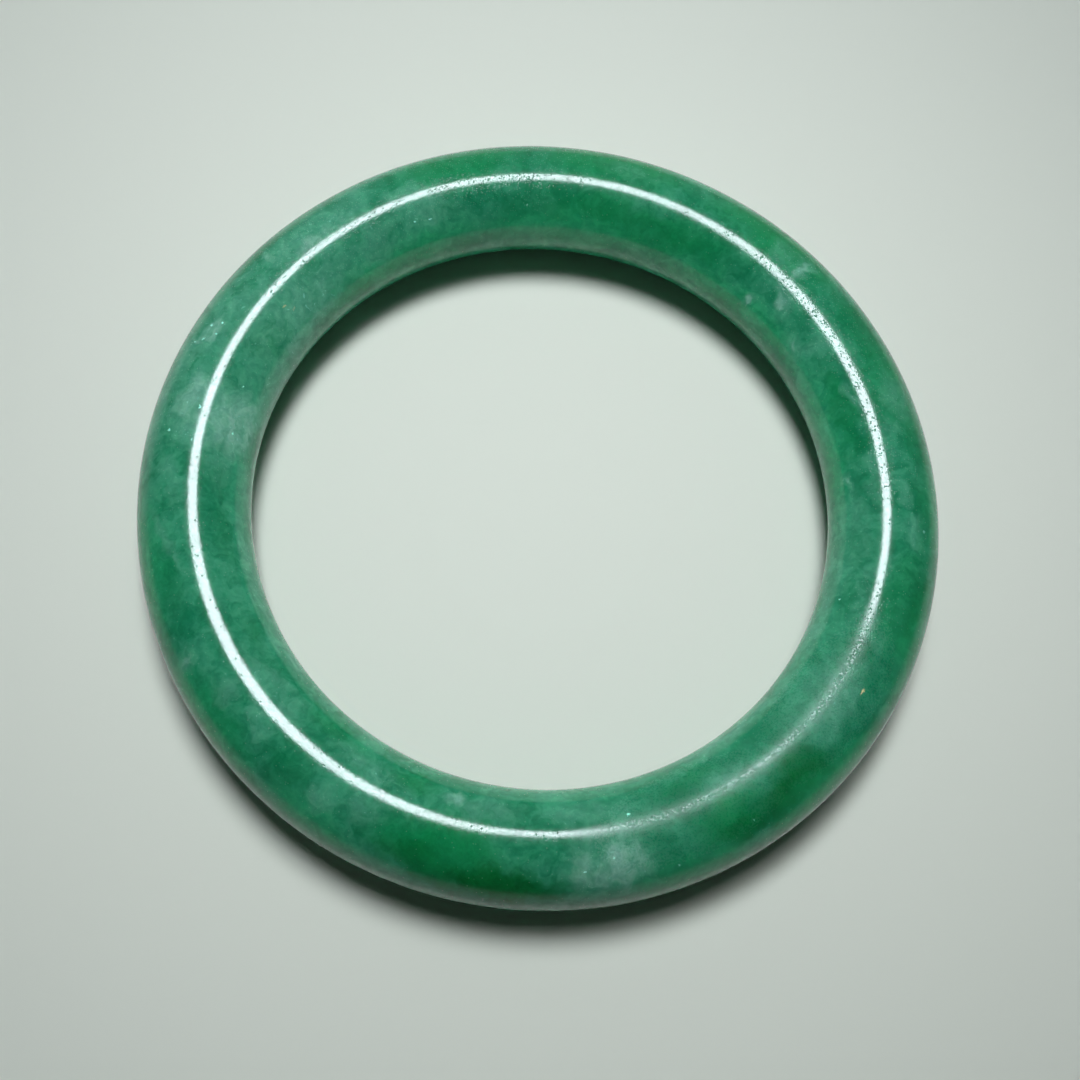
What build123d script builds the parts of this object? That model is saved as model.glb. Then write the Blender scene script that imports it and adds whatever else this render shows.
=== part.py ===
from build123d import *

import os

# A closed bangle with a fully round section, cut and polished from one block of stone.
# Sizes are in millimetres. The ring lies flat, as it does on a table: +Z is the axis that it is
# turned about, and the origin is on the table, under the centre of the wrist opening.

# Driving dimensions
WRIST_OPENING_DIAMETER = 56.0  # across the narrowest circle inside the ring
SECTION_DIAMETER = 10.5  # thickness of the round section

# What follows from them
SECTION_RADIUS = SECTION_DIAMETER / 2
CENTRE_LINE_RADIUS = (WRIST_OPENING_DIAMETER + SECTION_DIAMETER) / 2

os.makedirs("parts", exist_ok=True)

# The bangle: its round section stands on the table at the centre-line radius and is
# turned once round the axis. The stone has no joint, hinge, clasp or lining.
section_centre = (CENTRE_LINE_RADIUS, SECTION_RADIUS)

with BuildPart() as bangle:
    with BuildSketch(Plane.XZ) as section:
        with Locations(section_centre):
            Circle(SECTION_RADIUS)
    revolve(axis=Axis.Z)

bangle.part.label = "bangle"
export_step(bangle.part, "parts/bangle.step")
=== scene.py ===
import logging
import math
from dataclasses import dataclass
from enum import Enum
from typing import Any, Dict, List, Optional, Sequence, Tuple, Union

import bpy
from mathutils import Euler, Matrix, Vector


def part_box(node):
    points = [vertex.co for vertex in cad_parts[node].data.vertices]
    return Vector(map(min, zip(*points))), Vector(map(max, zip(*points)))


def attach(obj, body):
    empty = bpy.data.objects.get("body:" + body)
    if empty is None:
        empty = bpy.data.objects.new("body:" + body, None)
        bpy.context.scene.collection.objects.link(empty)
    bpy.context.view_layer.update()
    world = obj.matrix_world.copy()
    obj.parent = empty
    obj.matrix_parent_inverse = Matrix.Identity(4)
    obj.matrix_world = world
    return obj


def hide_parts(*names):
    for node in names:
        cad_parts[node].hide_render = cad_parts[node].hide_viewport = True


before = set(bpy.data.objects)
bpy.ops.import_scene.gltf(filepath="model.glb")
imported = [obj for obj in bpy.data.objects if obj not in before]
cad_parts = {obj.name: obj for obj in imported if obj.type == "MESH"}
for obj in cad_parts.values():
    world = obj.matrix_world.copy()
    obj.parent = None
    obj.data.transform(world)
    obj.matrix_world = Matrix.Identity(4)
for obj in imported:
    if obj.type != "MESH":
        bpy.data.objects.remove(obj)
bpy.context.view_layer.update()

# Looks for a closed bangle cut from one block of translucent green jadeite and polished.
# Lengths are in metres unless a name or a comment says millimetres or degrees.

LOG = logging.getLogger("bangle")
NODE = "bangle"
BODY = "root"
MM = 0.001
FULL_TURN = 2.0 * math.pi
RIGHT_ANGLE = math.pi / 2.0

# How much each finer layer of a noise counts, and the middle that a noise varies about
NOISE_ROUGHNESS = 0.55
NOISE_MIDDLE = (0.5, 0.5, 0.5)

# Vectors that pick one channel or one direction of another vector
FIRST = (1.0, 0.0, 0.0)
LEVEL = (1.0, 1.0, 0.0)
UP = (0.0, 0.0, 1.0)

# The sockets of a Mix node that mixes colours
MIX_FACTOR = 0
MIX_FIRST = 6
MIX_SECOND = 7
MIX_RESULT = 2

Colour = Tuple[float, float, float, float]
Pair = Tuple[float, float]
Triple = Tuple[float, float, float]
Operand = Union["Link", float, Sequence[float]]


@dataclass(frozen=True)
class Link:
    """An output socket that takes part in arithmetic: each operator adds one Math node."""

    graph: "Graph"
    socket: Optional[bpy.types.NodeSocket]

    def math(self, operation: str, *others: Operand) -> "Link":
        """Adds a Math node with this value first.

        Args:
            operation: the Math node's operation.
            others: the values or links that follow this one.

        Returns:
            The result.
        """
        values = dict(enumerate((self, *others)))
        return self.graph.node("ShaderNodeMath", {"operation": operation}, values)

    def __add__(self, other: Operand) -> "Link":
        """This value plus another."""
        return self.math("ADD", other)

    def __sub__(self, other: Operand) -> "Link":
        """This value less another."""
        return self.math("SUBTRACT", other)

    def __mul__(self, other: Operand) -> "Link":
        """This value times another."""
        return self.math("MULTIPLY", other)

    def highest(self, other: Operand) -> "Link":
        """The larger of this value and another."""
        return self.math("MAXIMUM", other)

    def fade(self, start: float, end: float, low: float = 0.0, high: float = 1.0) -> "Link":
        """Turns a range of this value into a soft step.

        Args:
            start: the value that gives low.
            end: the value that gives high.
            low: the result at start and before it.
            high: the result at end and past it.

        Returns:
            The stepped value.
        """
        values = {"Value": self, "From Min": start, "From Max": end, "To Min": low, "To Max": high}
        settings = {"interpolation_type": "SMOOTHSTEP", "clamp": True}
        return self.graph.node("ShaderNodeMapRange", settings, values)


class Graph:
    """The node tree of one material or world."""

    def __init__(self, tree: bpy.types.NodeTree) -> None:
        """Starts from an empty tree."""
        self.tree = tree
        self.tree.nodes.clear()

    def node(
        self,
        kind: str,
        settings: Optional[Dict[str, Any]] = None,
        values: Optional[Dict[Union[str, int], Operand]] = None,
        output: Union[str, int] = 0,
    ) -> Link:
        """Adds a node.

        Args:
            kind: the node's type.
            settings: its properties, which are set first.
            values: the values or links of its inputs, by name or number.
            output: the output that the result names.

        Returns:
            The chosen output.
        """
        made = self.tree.nodes.new(kind)
        for name, setting in (settings or {}).items():
            setattr(made, name, setting)
        for name, value in (values or {}).items():
            if isinstance(value, Link):
                self.tree.links.new(value.socket, made.inputs[name])
            else:
                made.inputs[name].default_value = value
        return Link(self, made.outputs[output] if len(made.outputs) else None)

    def vector(self, operation: str, *vectors: Operand, output: int = 0) -> Link:
        """Adds a Vector Math node.

        Args:
            operation: its operation.
            vectors: the vectors it takes.
            output: 0 for a vector, 1 for a number.

        Returns:
            The result.
        """
        values = dict(enumerate(vectors))
        return self.node("ShaderNodeVectorMath", {"operation": operation}, values, output)

    def scaled(self, vector: Link, factor: float) -> Link:
        """Adds a Vector Math node that multiplies a vector by a number."""
        return self.node("ShaderNodeVectorMath", {"operation": "SCALE"}, {0: vector, "Scale": factor})

    def noise(self, place: Link, size_mm: float, detail: float, colour: bool = False) -> Link:
        """Adds a Noise Texture.

        Args:
            place: the coordinates.
            size_mm: how far apart its patches are, in millimetres.
            detail: how many finer layers it has.
            colour: whether the three-channel output is wanted.

        Returns:
            The noise, 0 to 1 about a half.
        """
        values = {
            "Vector": place,
            "Scale": 1.0 / (size_mm * MM),
            "Detail": detail,
            "Roughness": NOISE_ROUGHNESS,
        }
        return self.node("ShaderNodeTexNoise", None, values, 1 if colour else 0)

    def ball(self, place: Link, centre: Vector, turn: Euler, sizes: Vector) -> Link:
        """Adds a Gradient Texture that falls from a centre to an oval edge.

        Args:
            place: the coordinates.
            centre: where its middle is.
            turn: how it is turned.
            sizes: its half-sizes.

        Returns:
            The gradient, 1 at the middle and 0 at the edge and outside it.
        """
        ball = self.node("ShaderNodeTexGradient", {"gradient_type": "SPHERICAL"}, {0: place}, 1)
        mapping = ball.socket.node.texture_mapping
        mapping.vector_type = "TEXTURE"
        mapping.translation = centre
        mapping.rotation = turn
        mapping.scale = sizes
        return ball

    def blend(self, factor: Operand, first: Operand, second: Operand, mode: str = "MIX") -> Link:
        """Mixes two colours.

        Args:
            factor: 0 for the first, 1 for the second.
            first: the first colour.
            second: the second colour.
            mode: the Mix node's blend type.

        Returns:
            The mixed colour.
        """
        settings = {"data_type": "RGBA", "blend_type": mode}
        values = {MIX_FACTOR: factor, MIX_FIRST: first, MIX_SECOND: second}
        return self.node("ShaderNodeMix", settings, values, MIX_RESULT)


class Tone(Enum):
    """The colours that the stone's patches can have, in the order that they cover each other."""

    VIVID = (0.004, 0.215, 0.070, 1.0)
    DEEP = (0.005, 0.172, 0.068, 1.0)
    DARK = (0.001, 0.130, 0.026, 1.0)
    # Painted light: the green that stands for light coming through the stone onto its shaded lower
    # rim and the wall round the wrist opening
    LEAF = (0.020, 0.360, 0.150, 1.0)
    PALE = (0.095, 0.345, 0.232, 1.0)
    MILK = (0.220, 0.460, 0.370, 1.0)
    FLECK = (0.400, 0.960, 0.840, 1.0)
    STRAW = (0.740, 0.640, 0.340, 1.0)


@dataclass(frozen=True)
class Spot:
    """A soft oval place on the ring.

    azimuth is in degrees round the ring, counter-clockwise from +X seen from above. section is
    in degrees round the section: 0 at the rim, 90 on top and 180 at the wrist opening. along and
    across are half-sizes in millimetres along the ring and round the section. strength is 0 to 1
    and lean turns the oval on the surface, in degrees.
    """

    azimuth: float
    section: float
    along: float
    across: float
    strength: float
    lean: float = 0.0


PATCHES: Dict[Tone, Tuple[Spot, ...]] = {
    Tone.VIVID: (
        Spot(82, 134, 15.0, 2.8, 0.80),
        Spot(27, 130, 7.5, 1.9, 0.60),
        Spot(68, 78, 6.0, 2.6, 0.45),
        Spot(97, 132, 5.0, 2.2, 0.60),
        Spot(163, 129, 2.6, 1.6, 0.45),
        Spot(119, 78, 2.6, 2.0, 0.50),
        Spot(259, 128, 2.8, 2.0, 0.55),
        Spot(266, 72, 8.5, 4.2, 0.90),
        Spot(308, 72, 4.5, 3.2, 0.80),
        Spot(243, 132, 5.0, 1.6, 0.35),
        Spot(305, 128, 4.0, 1.4, 0.30),
        Spot(352, 75, 8.0, 3.0, 0.55),
        Spot(30, 70, 12.0, 3.4, 0.55),
        Spot(60, 70, 12.0, 4.2, 0.75),
        Spot(90, 70, 12.0, 4.2, 0.80),
        Spot(116, 72, 10.0, 4.0, 0.70),
    ),
    Tone.DEEP: (
        Spot(23, 129, 5.0, 1.4, 0.45),
        Spot(106, 131, 4.0, 1.7, 0.50),
        Spot(8, 65, 7.5, 2.0, 0.50),
        Spot(40, 73, 6.0, 3.0, 0.65),
        Spot(80, 140, 6.0, 1.4, 0.40),
        Spot(208, 68, 5.0, 2.0, 0.55),
        Spot(200, 128, 6.0, 1.4, 0.30),
        Spot(221, 129, 2.4, 1.5, 0.50),
        Spot(241, 66, 3.8, 3.0, 0.60),
        Spot(229, 55, 4.5, 1.8, 0.40),
        Spot(350, 61, 7.5, 2.2, 0.70),
        Spot(15, 55, 6.0, 1.4, 0.35),
    ),
    Tone.DARK: (
        Spot(274, 48, 8.5, 2.6, 0.90),
        Spot(319, 62, 6.5, 3.2, 0.85),
        Spot(320, 82, 3.4, 2.4, 0.60),
        Spot(310, 58, 4.5, 1.8, 0.50),
        Spot(262, 58, 3.6, 2.0, 0.50),
        Spot(351, 58, 5.5, 1.4, 0.35),
    ),
    # Painted light: long bands along the wall round the wrist opening and along the shaded lower rim,
    # lightened where light comes through the stone
    Tone.LEAF: (
        Spot(24, 160, 12.0, 2.6, 0.35),
        Spot(60, 160, 14.0, 2.8, 0.55),
        Spot(96, 160, 14.0, 2.8, 0.60),
        Spot(132, 160, 14.0, 2.8, 0.60),
        Spot(205, 40, 10.0, 3.2, 0.50),
        Spot(228, 38, 10.0, 3.2, 0.55),
        Spot(248, 38, 7.0, 3.2, 0.50),
        Spot(301, 36, 9.0, 3.2, 0.55),
        Spot(324, 36, 11.0, 3.4, 0.65),
        Spot(347, 40, 10.0, 3.0, 0.50),
        Spot(8, 44, 8.0, 2.6, 0.40),
    ),
    Tone.PALE: (
        Spot(2, 138, 7.0, 2.4, 0.40),
        Spot(12.5, 143, 1.6, 1.0, 0.50, 30.0),
        Spot(13, 116, 4.0, 1.0, 0.35),
        Spot(29, 115, 2.0, 0.9, 0.40),
        Spot(42.5, 143, 2.6, 1.4, 0.60, 25.0),
        Spot(40, 124, 1.4, 1.6, 0.45, 40.0),
        Spot(50.5, 120, 2.4, 1.7, 0.60, -20.0),
        Spot(56, 147, 1.6, 0.9, 0.60, 35.0),
        Spot(3.5, 75, 2.2, 1.9, 0.45),
        Spot(9, 84, 1.8, 1.3, 0.40),
        Spot(26, 70, 3.6, 2.2, 0.50),
        Spot(21, 84, 1.4, 1.6, 0.50, 20.0),
        Spot(53.5, 78, 2.0, 2.6, 0.60, 15.0),
        Spot(57.5, 81, 1.8, 2.2, 0.60),
        Spot(87, 78, 4.5, 2.2, 0.30),
        Spot(124, 122, 4.6, 1.8, 0.55),
        Spot(126, 91, 3.6, 1.4, 0.50),
        Spot(141, 140, 9.0, 1.8, 0.45),
        Spot(143, 82, 9.5, 2.7, 0.70),
        Spot(136, 118, 6.5, 1.8, 0.45),
        Spot(151.5, 74, 2.0, 2.3, 0.75),
        Spot(152, 120, 4.5, 2.4, 0.50),
        Spot(168, 72, 4.0, 2.8, 0.70),
        Spot(160, 62, 6.0, 1.8, 0.50),
        Spot(170, 140, 6.5, 2.0, 0.45),
        Spot(180, 100, 6.2, 6.5, 0.85),
        Spot(188, 124, 4.0, 2.2, 0.55),
        Spot(191, 72, 1.6, 1.9, 0.55),
        Spot(195, 84, 3.0, 1.4, 0.40),
        Spot(202, 70, 5.0, 0.7, 0.45, 28.0),
        Spot(220, 51, 1.6, 1.7, 0.65),
        Spot(227, 73, 1.8, 1.8, 0.50),
        Spot(233.5, 85, 2.4, 1.4, 0.65, -15.0),
        Spot(231, 114, 6.0, 1.5, 0.60),
        Spot(247.5, 65, 2.2, 1.8, 0.60),
        Spot(253.5, 80, 2.8, 2.4, 0.45),
        Spot(251, 117, 5.5, 1.7, 0.50),
        Spot(271.5, 119, 3.6, 2.0, 0.65),
        Spot(287, 119, 5.5, 1.9, 0.55),
        Spot(290, 72, 5.6, 4.2, 0.85),
        Spot(311, 117, 2.2, 1.4, 0.50),
        Spot(331, 118, 7.0, 2.6, 0.45),
        Spot(333, 88, 6.5, 1.8, 0.55),
        Spot(352, 116, 4.5, 1.3, 0.45),
        Spot(344, 86, 2.0, 1.1, 0.35),
        Spot(309, 150, 1.8, 1.2, 0.40),
        # The next four spots are painted light in the pale tone: long bands along the wall round the
        # wrist opening, lightened where light comes through the stone
        Spot(166, 158, 12.0, 2.8, 0.60),
        Spot(318, 157, 12.0, 2.2, 0.45),
        Spot(350, 158, 12.0, 2.4, 0.45),
        Spot(215, 158, 12.0, 2.2, 0.45),
        Spot(154, 130, 11.0, 4.0, 0.80),
        Spot(160, 84, 8.0, 3.0, 0.55),
        Spot(176, 52, 12.0, 2.4, 0.60),
    ),
    Tone.MILK: (
        Spot(52.8, 84, 0.8, 1.5, 0.60, 20.0),
        Spot(53.8, 71, 0.8, 1.1, 0.50),
        Spot(56, 148, 0.7, 0.5, 0.60, 30.0),
        Spot(42.8, 145, 0.7, 0.6, 0.50),
        Spot(51, 124, 0.9, 0.8, 0.50),
        Spot(145, 90, 3.4, 1.0, 0.40),
        Spot(151.8, 70, 0.9, 1.1, 0.50),
        Spot(167, 71, 2.0, 1.6, 0.65),
        Spot(169.3, 60, 0.6, 1.0, 0.60),
        Spot(181, 139, 4.0, 2.6, 0.65),
        Spot(182, 118, 3.4, 2.2, 0.45),
        Spot(179, 84, 3.6, 2.0, 0.45),
        Spot(266, 122, 1.3, 1.0, 0.60),
        Spot(285.3, 70, 1.2, 2.6, 0.45, -10.0),
        Spot(290.5, 69, 1.7, 3.0, 0.75, 8.0),
        Spot(294, 72, 1.4, 2.2, 0.45),
        Spot(288, 56, 2.2, 1.2, 0.45),
        Spot(220.2, 53, 0.6, 0.8, 0.45),
        Spot(12.6, 143, 0.5, 0.5, 0.45),
    ),
    Tone.FLECK: (
        Spot(165.3, 77, 0.24, 0.18, 1.00),
        Spot(167.5, 77, 0.20, 0.16, 0.90),
        Spot(166.2, 66, 0.22, 0.15, 0.80, 30.0),
        Spot(168.8, 66, 0.18, 0.15, 0.80),
        Spot(169.5, 57, 0.12, 0.32, 0.80, 10.0),
        Spot(184.5, 67, 0.20, 0.18, 1.00),
        Spot(180.2, 93, 0.26, 0.16, 1.00),
        Spot(186, 93, 0.22, 0.12, 0.90),
        Spot(183, 132, 0.18, 0.14, 0.80),
        Spot(174, 127, 0.18, 0.14, 0.80),
        Spot(104.9, 130, 0.14, 0.16, 0.45),
        Spot(124, 128, 0.18, 0.12, 0.80),
        Spot(127, 125, 0.22, 0.12, 0.80),
        Spot(293.7, 112, 0.22, 0.20, 1.00),
        Spot(290.2, 75, 0.16, 0.16, 0.80),
        Spot(286, 65, 0.16, 0.14, 0.80),
        Spot(310.9, 62, 0.12, 0.24, 0.60, 20.0),
        Spot(299, 52, 0.14, 0.16, 0.60),
        Spot(349.5, 140, 0.16, 0.14, 0.70),
        Spot(4, 62, 0.14, 0.18, 0.40),
    ),
    Tone.STRAW: (
        Spot(336, 78, 0.46, 0.11, 0.90),
        Spot(157, 119, 0.26, 0.14, 0.35, -20.0),
        Spot(156, 128, 0.30, 0.12, 0.30, 25.0),
    ),
}

# The stretch of the top whose polish is softer than the rest
SOFT_POLISH: Tuple[Spot, ...] = (
    Spot(304, 100, 17.0, 7.0, 0.90),
    Spot(331, 102, 17.0, 7.0, 0.92),
)

# The stretches where the polish is pitted
PITTED: Tuple[Spot, ...] = (
    Spot(22, 100, 13.0, 4.0, 0.80),
    Spot(46, 100, 14.0, 4.0, 1.00),
    Spot(112, 99, 16.0, 5.0, 1.00),
    Spot(137, 98, 16.0, 5.0, 1.00),
    Spot(340, 104, 12.0, 4.0, 1.00),
)


@dataclass(frozen=True)
class RingShape:
    """The ring's round section and the circle that its centre follows."""

    centre_radius: float
    section_radius: float

    def frame_at(self, azimuth: float, section: float) -> Tuple[Vector, Matrix]:
        """Gives a place on the surface.

        Args:
            azimuth: degrees round the ring.
            section: degrees round the section.

        Returns:
            The point, and a matrix whose columns point along the ring, round the section and out.
        """
        turn = math.radians(azimuth)
        lift = math.radians(section)
        outward = Vector((math.cos(turn), math.sin(turn), 0.0))
        along = Vector((-math.sin(turn), math.cos(turn), 0.0))
        up = Vector(UP)
        normal = outward * math.cos(lift) + up * math.sin(lift)
        across = up * math.cos(lift) - outward * math.sin(lift)
        centre = outward * self.centre_radius + up * self.section_radius
        axes = Matrix((along, across, normal)).transposed()
        return centre + normal * self.section_radius, axes


@dataclass(frozen=True)
class JadeFinish:
    """Translucent green jadeite with clouds, wisps, crystal flecks and a high polish.

    Sizes are in millimetres.
    """

    shape: RingShape

    # The body, and how soft a spot's edge is
    body_shade: Colour = (0.009, 0.190, 0.090, 1.0)
    body_light: Colour = (0.036, 0.272, 0.152, 1.0)
    cloud_size: float = 3.6
    cloud_range: Pair = (0.34, 0.66)
    cloud_detail: float = 3.0
    spot_edge: float = 0.75

    # How far the spots' outlines are pushed about, coarsely, finely and for the flecks
    warp_size: float = 2.4
    warp_reach: float = 1.5
    ragged_size: float = 0.7
    ragged_reach: float = 0.35
    nick_size: float = 0.30
    nick_reach: float = 0.24
    push_detail: float = 2.0

    # The streaks, and how much the pale spots show between them and along them
    fibre_size: float = 1.3
    fibre_turn: Triple = (0.5, 0.3, 0.9)
    fibre_scale: Triple = (1.0, 0.35, 0.8)
    fibre_range: Pair = (0.30, 0.66)
    fibre_base: float = 0.45
    fibre_gain: float = 0.75

    # Painted light towards the wrist, where light comes through the stone: how much it lightens the
    # colour, and where across the section it starts
    painted_light_gain: float = 1.28
    painted_light_start: float = 0.45

    # The mottling, the grain and the crystal specks
    fine_detail: float = 4.0
    mottle_size: float = 0.9
    mottle_range: Pair = (0.25, 0.75)
    mottle_depth: float = 0.13
    grain_size: float = 0.28
    grain_detail: float = 3.0
    grain_range: Pair = (0.2, 0.8)
    grain_depth: float = 0.08
    speck_size: float = 0.42
    speck_reach: float = 0.26
    speck_share: float = 0.28
    speck_strength: float = 0.30
    dot_core: float = 0.4

    # The pits: how close together they are at the least, and how much closer where it is pitted
    pit_size: float = 0.22
    pit_reach: float = 0.46
    pit_least: float = 0.06
    pit_more: float = 0.60
    pit_height: float = 0.009
    pit_roughness: float = 0.42

    # The polish
    refraction: float = 1.66
    specular_level: float = 0.33
    specular_tint: Colour = (0.92, 0.95, 1.0, 1.0)
    peel_size: float = 0.20
    peel_detail: float = 2.0
    peel_height: float = 0.0030
    peel_range: Pair = (0.30, 0.70)
    polished: Pair = (0.07, 0.21)
    worn: float = 0.48
    worn_range: Pair = (0.64, 0.42)
    worn_least: float = 0.52

    # The light under the surface
    scatter_weight: float = 0.6
    scatter_radius: Triple = (0.4, 1.0, 0.6)
    scatter_size: float = 1.0

    def pushed(self, graph: Graph, place: Link, size: float, reach: float) -> Link:
        """Pushes coordinates about, so that what is drawn on them has a ragged edge.

        Args:
            graph: the material's nodes.
            place: the coordinates.
            size: how far apart the pushes are.
            reach: how far the coordinates can move.

        Returns:
            The moved coordinates.
        """
        pushes = graph.noise(place, size, self.push_detail, True)
        spread = graph.vector("SUBTRACT", pushes, NOISE_MIDDLE)
        return graph.vector("ADD", place, graph.scaled(spread, 2.0 * reach * MM))

    def spot_mask(self, graph: Graph, place: Link, spot: Spot) -> Link:
        """Makes the mask of one spot.

        Args:
            graph: the material's nodes.
            place: the coordinates that it is drawn on.
            spot: the spot.

        Returns:
            The mask, from 0 outside to the spot's strength at its middle.
        """
        point, axes = self.shape.frame_at(spot.azimuth, spot.section)
        turned = axes @ Matrix.Rotation(math.radians(spot.lean), 3, "Z")
        sizes = Vector((spot.along, spot.across, spot.along + spot.across)) * MM
        ball = graph.ball(place, point, turned.to_euler(), sizes)
        return ball.fade(0.0, self.spot_edge, 0.0, spot.strength)

    def joined(self, graph: Graph, place: Link, spots: Sequence[Spot]) -> Link:
        """Joins the masks of several spots.

        Args:
            graph: the material's nodes.
            place: the coordinates that they are drawn on.
            spots: the spots.

        Returns:
            The joined mask.
        """
        total = self.spot_mask(graph, place, spots[0])
        for spot in spots[1:]:
            total = total.highest(self.spot_mask(graph, place, spot))
        return total

    def fibres(self, graph: Graph, place: Link) -> Link:
        """Makes the streaks in the stone, which all lie the same way.

        Args:
            graph: the material's nodes.
            place: the warped coordinates.

        Returns:
            The streaks, 0 to 1.
        """
        values = {"Vector": place, "Rotation": self.fibre_turn, "Scale": self.fibre_scale}
        drawn_out = graph.node("ShaderNodeMapping", {"vector_type": "POINT"}, values)
        return graph.noise(drawn_out, self.fibre_size, self.fine_detail).fade(*self.fibre_range)

    def cells(self, graph: Graph, place: Link, size: float, reach: float, share: Operand) -> Link:
        """Scatters tiny dots.

        Args:
            graph: the material's nodes.
            place: the coordinates.
            size: how far apart they can be.
            reach: a dot's radius, as a share of that.
            share: how many of the places have a dot, 0 to 1.

        Returns:
            The dots, 0 to 1.
        """
        values = {"Vector": place, "Scale": 1.0 / (size * MM)}
        near = graph.node("ShaderNodeTexVoronoi", None, values, "Distance")
        chance = Link(graph, near.socket.node.outputs["Color"])
        chosen = graph.vector("DOT_PRODUCT", chance, FIRST, output=1)
        return near.fade(reach, self.dot_core * reach) * chosen.math("LESS_THAN", share)

    def painted_wrist_light(self, graph: Graph, place: Link) -> Link:
        """Paints light into the colour towards the wrist, where light comes through the stone.

        Args:
            graph: the material's nodes.
            place: the true coordinates.

        Returns:
            What the colour is multiplied by.
        """
        level = graph.vector("MULTIPLY", place, LEVEL)
        radius = graph.vector("LENGTH", level, output=1)
        start = self.shape.centre_radius - self.painted_light_start * self.shape.section_radius
        end = self.shape.centre_radius - self.shape.section_radius
        return radius.fade(start, end, 1.0, self.painted_light_gain)

    @staticmethod
    def about_one(depth: float) -> Pair:
        """Gives the two ends of a factor that varies about 1."""
        return 1.0 - depth, 1.0 + depth

    def colour(self, graph: Graph, place: Link) -> Link:
        """Colours the stone.

        Args:
            graph: the material's nodes.
            place: the true coordinates.

        Returns:
            The colour.
        """
        ragged = self.pushed(graph, place, self.nick_size, self.nick_reach)
        warped = self.pushed(graph, place, self.warp_size, self.warp_reach)
        warped = self.pushed(graph, warped, self.ragged_size, self.ragged_reach)
        fibres = self.fibres(graph, warped)
        clouds = graph.noise(warped, self.cloud_size, self.cloud_detail).fade(*self.cloud_range)
        result = graph.blend(clouds, self.body_shade, self.body_light)
        wisps_and_painted_light = None
        for tone, spots in PATCHES.items():
            fine = tone in (Tone.FLECK, Tone.STRAW)
            mask = self.joined(graph, ragged if fine else warped, spots)
            # The pale and milky masks hold the wisps and also the pale bands of painted light on the
            # wall round the wrist opening; the specks follow them all
            if tone in (Tone.PALE, Tone.MILK):
                mask = mask * (fibres * self.fibre_gain + self.fibre_base)
                wisps_and_painted_light = mask if wisps_and_painted_light is None else wisps_and_painted_light.highest(mask)
            result = graph.blend(mask, result, tone.value)
        dots = self.cells(graph, warped, self.speck_size, self.speck_reach, self.speck_share)
        specks = dots * wisps_and_painted_light * self.speck_strength
        result = graph.blend(specks, result, Tone.FLECK.value)
        mottling = graph.noise(warped, self.mottle_size, self.fine_detail)
        mottle = mottling.fade(*self.mottle_range, *self.about_one(self.mottle_depth))
        graining = graph.noise(place, self.grain_size, self.grain_detail)
        grain = graining.fade(*self.grain_range, *self.about_one(self.grain_depth)) * mottle
        # The grain is multiplied by the painted light towards the wrist
        grain = grain * self.painted_wrist_light(graph, place)
        tint = graph.node("ShaderNodeCombineXYZ", None, {0: grain * mottle, 1: grain, 2: grain})
        return graph.blend(1.0, result, tint, "MULTIPLY")

    def pits(self, graph: Graph, place: Link) -> Link:
        """Scatters the pits, which are close together where the stone polished worst."""
        share = self.joined(graph, place, PITTED) * self.pit_more + self.pit_least
        return self.cells(graph, place, self.pit_size, self.pit_reach, share)

    def relief(self, graph: Graph, peel: Link, pits: Link) -> Link:
        """Gives the polish its fine unevenness and its pits.

        Args:
            graph: the material's nodes.
            peel: the fine unevenness, 0 to 1.
            pits: the pits, 0 to 1.

        Returns:
            The normal.
        """
        height = peel * self.peel_height - pits * self.pit_height
        return graph.node("ShaderNodeBump", None, {"Distance": MM, "Height": height})

    def gloss(self, graph: Graph, place: Link, peel: Link, pits: Link) -> Link:
        """Makes the roughness: low, but high in the pits and over most of the worn stretch.

        Args:
            graph: the material's nodes.
            place: the true coordinates.
            peel: the fine unevenness, 0 to 1.
            pits: the pits, 0 to 1.

        Returns:
            The roughness.
        """
        worn = self.joined(graph, place, SOFT_POLISH) * peel.fade(*self.worn_range, self.worn_least)
        polish = peel.fade(*self.peel_range, *self.polished)
        return polish.highest(worn * self.worn).highest(pits * self.pit_roughness)

    def material(self) -> bpy.types.Material:
        """Builds the material."""
        made = bpy.data.materials.new("jadeite_polished")
        made.use_nodes = True
        graph = Graph(made.node_tree)
        place = graph.node("ShaderNodeTexCoord", output="Object")
        peel = graph.noise(place, self.peel_size, self.peel_detail)
        pits = self.pits(graph, place)
        values = {
            "Base Color": self.colour(graph, place),
            "Roughness": self.gloss(graph, place, peel, pits),
            "IOR": self.refraction,
            "Specular IOR Level": self.specular_level,
            "Specular Tint": self.specular_tint,
            "Subsurface Weight": self.scatter_weight,
            "Subsurface Radius": self.scatter_radius,
            "Subsurface Scale": self.scatter_size * MM,
            "Normal": self.relief(graph, peel, pits),
        }
        surface = graph.node("ShaderNodeBsdfPrincipled", None, values)
        graph.node("ShaderNodeOutputMaterial", None, {"Surface": surface})
        return made


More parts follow.
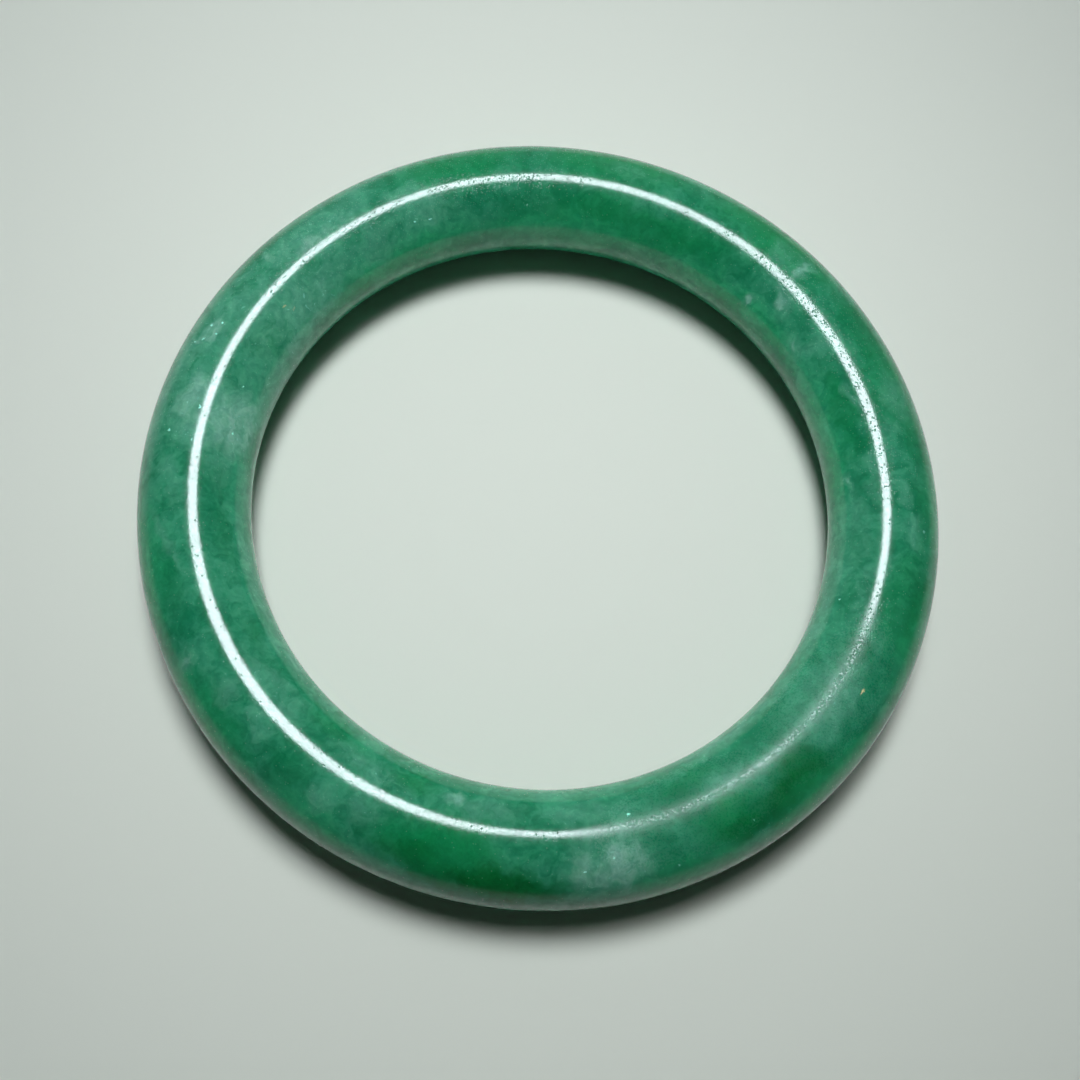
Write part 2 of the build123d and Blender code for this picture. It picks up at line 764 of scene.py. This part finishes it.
@dataclass
class Bangle:
    """The one piece of the bracelet: a ring of round section, turned and polished.

    lowest and highest are the corners of the CAD box. An inward_level of 1 makes every point of
    the surface move inward.
    """

    lowest: Vector
    highest: Vector
    section_points: int = 96
    ring_steps: int = 720
    wave_size: float = 9.0 * MM
    wave_depth: float = 0.04 * MM
    wave_layers: int = 1
    inward_level: float = 1.0
    seam: float = 0.01 * MM

    @property
    def shape(self) -> RingShape:
        """The ring's two radii, from the CAD box."""
        section_radius = (self.highest.z - self.lowest.z) / 2.0
        return RingShape(self.highest.x - section_radius, section_radius)

    def turn_ring(self) -> bpy.types.Object:
        """Spins the round section once about the ring's axis.

        Returns:
            The ring, closed and facing outwards, with its place in its mesh.
        """
        bpy.ops.object.select_all(action="DESELECT")
        bpy.ops.mesh.primitive_circle_add(
            vertices=self.section_points,
            radius=self.shape.section_radius,
            fill_type="NOTHING",
            location=(self.shape.centre_radius, 0.0, self.shape.section_radius),
            rotation=(RIGHT_ANGLE, 0.0, 0.0),
        )
        ring = bpy.context.active_object
        ring.name = "jade_bangle"
        bpy.ops.object.transform_apply(location=True, rotation=True, scale=True)
        bpy.ops.object.mode_set(mode="EDIT")
        bpy.ops.mesh.select_all(action="SELECT")
        bpy.ops.mesh.spin(
            steps=self.ring_steps, angle=FULL_TURN, center=(0.0, 0.0, 0.0), axis=UP
        )
        bpy.ops.mesh.select_all(action="SELECT")
        bpy.ops.mesh.remove_doubles(threshold=self.seam)
        bpy.ops.mesh.normals_make_consistent(inside=False)
        bpy.ops.object.mode_set(mode="OBJECT")
        bpy.ops.object.shade_smooth()
        return ring

    def hand_polish(self, ring: bpy.types.Object) -> None:
        """Takes a little stone off unevenly, as polishing by hand does.

        Args:
            ring: the turned ring, which only becomes smaller.
        """
        waves = bpy.data.textures.new("polish_waves", "CLOUDS")
        waves.noise_scale = self.wave_size
        waves.noise_depth = self.wave_layers
        wear = ring.modifiers.new("hand_polish", "DISPLACE")
        wear.texture = waves
        wear.texture_coords = "LOCAL"
        wear.mid_level = self.inward_level
        wear.strength = self.wave_depth
        bpy.ops.object.modifier_apply(modifier=wear.name)

    def build(self) -> bpy.types.Object:
        """Models, polishes and dresses the ring, and ties it to the CAD frame."""
        ring = self.turn_ring()
        self.hand_polish(ring)
        ring.data.materials.append(JadeFinish(self.shape).material())
        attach(ring, BODY)
        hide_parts(NODE)
        return ring


@dataclass(frozen=True)
class Studio:
    """The plain pale floor, the soft lamps high on the far side and the dim room."""

    floor_colour: Colour = (0.655, 0.700, 0.645, 1.0)
    room_near: Colour = (0.024, 0.027, 0.023, 1.0)
    room_far: Colour = (0.220, 0.240, 0.230, 1.0)
    room_way: Triple = (-0.15, 0.98, 0.0)
    room_across: Pair = (-0.1, 0.9)
    room_upward: Pair = (0.9, 0.3)
    floor_half: float = 0.6
    floor_roughness: float = 0.9
    floor_specular: float = 0.2
    glint_place: Triple = (-0.030, 0.093, 0.297)
    glint_size: Pair = (0.116, 0.076)
    glint_turn: float = 62.0
    glint_colour: Triple = (0.96, 1.0, 1.03)
    glint_watts: float = 0.54
    fill_place: Triple = (-0.020, 0.088, 0.297)
    fill_size: float = 0.150
    fill_spread: float = 42.0
    fill_watts: float = 0.038

    def floor(self) -> bpy.types.Object:
        """Lays the floor."""
        bpy.ops.object.select_all(action="DESELECT")
        bpy.ops.mesh.primitive_plane_add(size=2.0 * self.floor_half, location=(0.0, 0.0, 0.0))
        floor = bpy.context.active_object
        floor.name = "floor"
        made = bpy.data.materials.new("pale_floor")
        made.use_nodes = True
        graph = Graph(made.node_tree)
        values = {
            "Base Color": self.floor_colour,
            "Roughness": self.floor_roughness,
            "Specular IOR Level": self.floor_specular,
        }
        surface = graph.node("ShaderNodeBsdfPrincipled", None, values)
        graph.node("ShaderNodeOutputMaterial", None, {"Surface": surface})
        floor.data.materials.append(made)
        return floor

    def glint(self) -> bpy.types.Object:
        """Hangs the level oval lamp that the polish mirrors."""
        turned = (0.0, 0.0, math.radians(self.glint_turn))
        bpy.ops.object.light_add(type="AREA", location=self.glint_place, rotation=turned)
        lamp = bpy.context.active_object
        lamp.name = "glint_lamp"
        lamp.data.shape = "ELLIPSE"
        lamp.data.color = self.glint_colour
        lamp.data.size, lamp.data.size_y = self.glint_size
        lamp.data.energy = self.glint_watts
        return lamp

    def fill(self) -> bpy.types.Object:
        """Hangs the round lamp that lights the middle of the floor and isn't mirrored."""
        aimed = (-Vector(self.fill_place)).to_track_quat("-Z", "Y").to_euler()
        bpy.ops.object.light_add(type="AREA", location=self.fill_place, rotation=aimed)
        lamp = bpy.context.active_object
        lamp.name = "fill_lamp"
        lamp.data.shape = "DISK"
        lamp.data.size = self.fill_size
        lamp.data.spread = math.radians(self.fill_spread)
        lamp.data.energy = self.fill_watts
        lamp.visible_glossy = False
        return lamp

    def room(self) -> bpy.types.World:
        """Fills the room with dim light, which is brighter low on the far side."""
        world = bpy.data.worlds.new("dim_room")
        bpy.context.scene.world = world
        world.use_nodes = True
        graph = Graph(world.node_tree)
        way = graph.node("ShaderNodeTexCoord", output="Generated")
        across = graph.vector("DOT_PRODUCT", way, self.room_way, output=1)
        upward = graph.vector("DOT_PRODUCT", way, UP, output=1)
        far = across.fade(*self.room_across) * upward.fade(*self.room_upward)
        colour = graph.blend(far, self.room_near, self.room_far)
        light = graph.node("ShaderNodeBackground", None, {"Color": colour})
        graph.node("ShaderNodeOutputWorld", None, {"Surface": light})
        return world

    def build(self) -> List[bpy.types.ID]:
        """Sets up the studio and gives what it holds."""
        return [self.floor(), self.glint(), self.fill(), self.room()]


@dataclass(frozen=True)
class Camera:
    """The camera, close above the near side and looking down into the ring."""

    middle_height: float
    distance: float = 0.1178
    elevation: float = 69.95
    aim: Pair = (0.0004, -0.00445)
    roll: float = 12.24
    lens_mm: float = 40.5
    sensor_mm: float = 36.0
    near_clip: float = 0.01

    def build(self) -> bpy.types.Object:
        """Places the camera, turns it and makes it the scene's own."""
        lift = math.radians(self.elevation)
        centre = Vector((0.0, 0.0, self.middle_height))
        place = centre + Vector((0.0, -math.cos(lift), math.sin(lift))) * self.distance
        target = Vector((*self.aim, self.middle_height))
        level = (target - place).to_track_quat("-Z", "Y").to_matrix()
        rolled = level @ Matrix.Rotation(math.radians(self.roll), 3, "Z")
        bpy.ops.object.camera_add(location=place, rotation=rolled.to_euler())
        camera = bpy.context.active_object
        camera.name = "camera"
        camera.data.lens = self.lens_mm
        camera.data.sensor_width = self.sensor_mm
        camera.data.clip_start = self.near_clip
        bpy.context.scene.camera = camera
        return camera


def main() -> None:
    """Builds the bangle and its studio in order."""
    logging.basicConfig(level=logging.INFO, format="%(name)s: %(message)s")
    lowest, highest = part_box(NODE)
    bangle = Bangle(lowest, highest)
    ring = bangle.build()
    LOG.info("%s: %d faces", ring.name, len(ring.data.polygons))
    camera = Camera(bangle.shape.section_radius).build()
    for made in (*Studio().build(), camera):
        LOG.info("%s placed", made.name)
    bpy.context.scene.view_settings.view_transform = "Standard"


if __name__ == "__main__":
    main()
